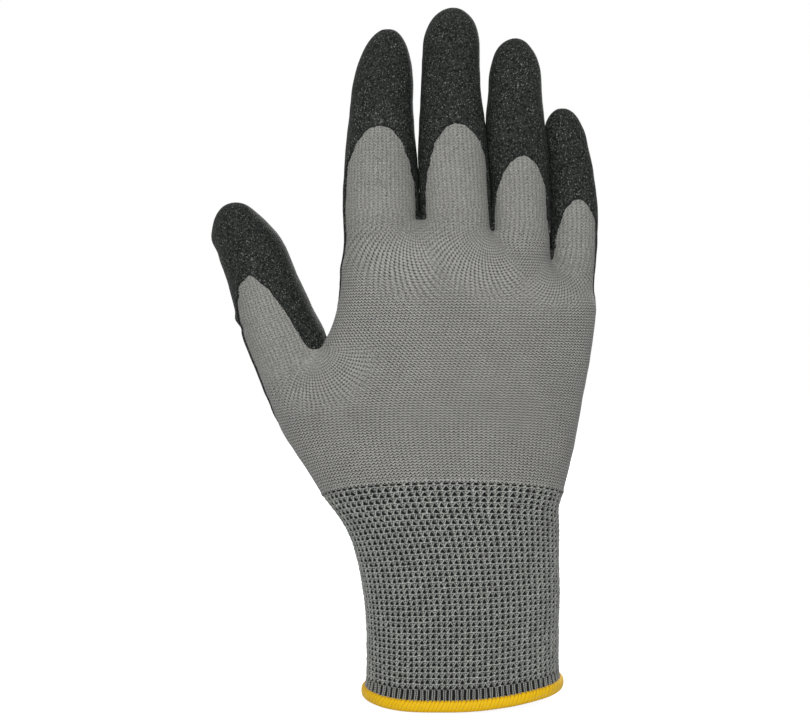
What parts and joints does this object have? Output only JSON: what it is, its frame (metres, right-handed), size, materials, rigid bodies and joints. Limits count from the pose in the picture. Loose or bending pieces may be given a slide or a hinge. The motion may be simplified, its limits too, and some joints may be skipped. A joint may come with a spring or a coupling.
{
  "type": "work glove",
  "caption": "Right-hand knitted work glove with a foam-coated palm and fingertips, a rib cuff and a stitched hem, with fingers, thumb and wrist that bend.",
  "frame": {"origin": "centre of the hand opening, in the plane of the hem's lower rim", "axes": "+Z from the hem towards the fingertips, +Y out of the palm, +X from the thumb side to the little-finger side"},
  "size_m": [0.131, 0.0476, 0.2349],
  "materials": {
    "liner_knit": "fine plain knit, matt grey nylon",
    "rib_knit": "coarse elastic rib knit, grey over black",
    "foam_coating": "matt sandy foam, charcoal",
    "hem_thread": "overlock thread, yellow"
  },
  "bodies": {
    "cuff": {"cuff_rib": "rib_knit", "cuff_hem": "hem_thread"},
    "hand": {"hand_knit": "liner_knit", "palm_coating": "foam_coating"},
    "index_proximal": {"index_proximal_knit": "liner_knit", "index_proximal_coating": "foam_coating"},
    "index_middle": {"index_middle_knit": "liner_knit", "index_middle_coating": "foam_coating"},
    "index_distal": {"index_distal_knit": "liner_knit", "index_distal_coating": "foam_coating"},
    "middle_proximal": {"middle_proximal_knit": "liner_knit", "middle_proximal_coating": "foam_coating"},
    "middle_middle": {"middle_middle_knit": "liner_knit", "middle_middle_coating": "foam_coating"},
    "middle_distal": {"middle_distal_knit": "liner_knit", "middle_distal_coating": "foam_coating"},
    "ring_proximal": {"ring_proximal_knit": "liner_knit", "ring_proximal_coating": "foam_coating"},
    "ring_middle": {"ring_middle_knit": "liner_knit", "ring_middle_coating": "foam_coating"},
    "ring_distal": {"ring_distal_knit": "liner_knit", "ring_distal_coating": "foam_coating"},
    "little_proximal": {"little_proximal_knit": "liner_knit", "little_proximal_coating": "foam_coating"},
    "little_middle": {"little_middle_knit": "liner_knit", "little_middle_coating": "foam_coating"},
    "little_distal": {"little_distal_knit": "liner_knit", "little_distal_coating": "foam_coating"},
    "thumb_proximal": {"thumb_proximal_knit": "liner_knit", "thumb_proximal_coating": "foam_coating"},
    "thumb_distal": {"thumb_distal_knit": "liner_knit", "thumb_distal_coating": "foam_coating"}
  },
  "joints": [
    {"name": "wrist", "type": "hinge", "parent": "cuff", "child": "hand", "pos_m": [0, 0, 0.072], "axis": [-1, 0, 0], "range_deg": [-25, 25]},
    {"name": "index_knuckle", "type": "hinge", "parent": "hand", "child": "index_proximal", "pos_m": [-0.0274, 0, 0.155], "axis": [-1, 0, 0], "range_deg": [0, 80]},
    {"name": "index_middle_joint", "type": "hinge", "parent": "index_proximal", "child": "index_middle", "pos_m": [-0.02704, 0.00036, 0.186], "axis": [-1, 0, 0], "range_deg": [0, 90]},
    {"name": "index_end_joint", "type": "hinge", "parent": "index_middle", "child": "index_distal", "pos_m": [-0.02637, 0.00103, 0.207], "axis": [-1, 0, 0], "range_deg": [0, 45]},
    {"name": "middle_knuckle", "type": "hinge", "parent": "hand", "child": "middle_proximal", "pos_m": [-0.0021, -0.001, 0.155], "axis": [-1, 0, 0], "range_deg": [0, 80]},
    {"name": "middle_middle_joint", "type": "hinge", "parent": "middle_proximal", "child": "middle_middle", "pos_m": [-0.00246, -0.00064, 0.189], "axis": [-1, 0, 0], "range_deg": [0, 90]},
    {"name": "middle_end_joint", "type": "hinge", "parent": "middle_middle", "child": "middle_distal", "pos_m": [-0.00312, 0.00002, 0.212], "axis": [-1, 0, 0], "range_deg": [0, 45]},
    {"name": "ring_knuckle", "type": "hinge", "parent": "hand", "child": "ring_proximal", "pos_m": [0.0204, 0.0005, 0.153], "axis": [-1, 0, 0], "range_deg": [0, 80]},
    {"name": "ring_middle_joint", "type": "hinge", "parent": "ring_proximal", "child": "ring_middle", "pos_m": [0.02009, 0.00085, 0.183], "axis": [-1, 0, 0], "range_deg": [0, 90]},
    {"name": "ring_end_joint", "type": "hinge", "parent": "ring_middle", "child": "ring_distal", "pos_m": [0.01949, 0.00151, 0.204], "axis": [-1, 0, 0], "range_deg": [0, 45]},
    {"name": "little_knuckle", "type": "hinge", "parent": "hand", "child": "little_proximal", "pos_m": [0.0388, 0.0035, 0.144], "axis": [-1, 0, 0], "range_deg": [0, 80]},
    {"name": "little_middle_joint", "type": "hinge", "parent": "little_proximal", "child": "little_middle", "pos_m": [0.03826, 0.00386, 0.168], "axis": [-1, 0, 0], "range_deg": [0, 90]},
    {"name": "little_end_joint", "type": "hinge", "parent": "little_middle", "child": "little_distal", "pos_m": [0.0373, 0.0045, 0.184], "axis": [-1, 0, 0], "range_deg": [0, 45]},
    {"name": "thumb_knuckle", "type": "hinge", "parent": "hand", "child": "thumb_proximal", "pos_m": [-0.057, 0.005, 0.112], "axis": [-0.8782, 0.3746, -0.2973], "range_deg": [0, 50]},
    {"name": "thumb_end_joint", "type": "hinge", "parent": "thumb_proximal", "child": "thumb_distal", "pos_m": [-0.06671, 0.005, 0.1388], "axis": [-0.8782, 0.3746, -0.2973], "range_deg": [0, 65]}
  ]
}
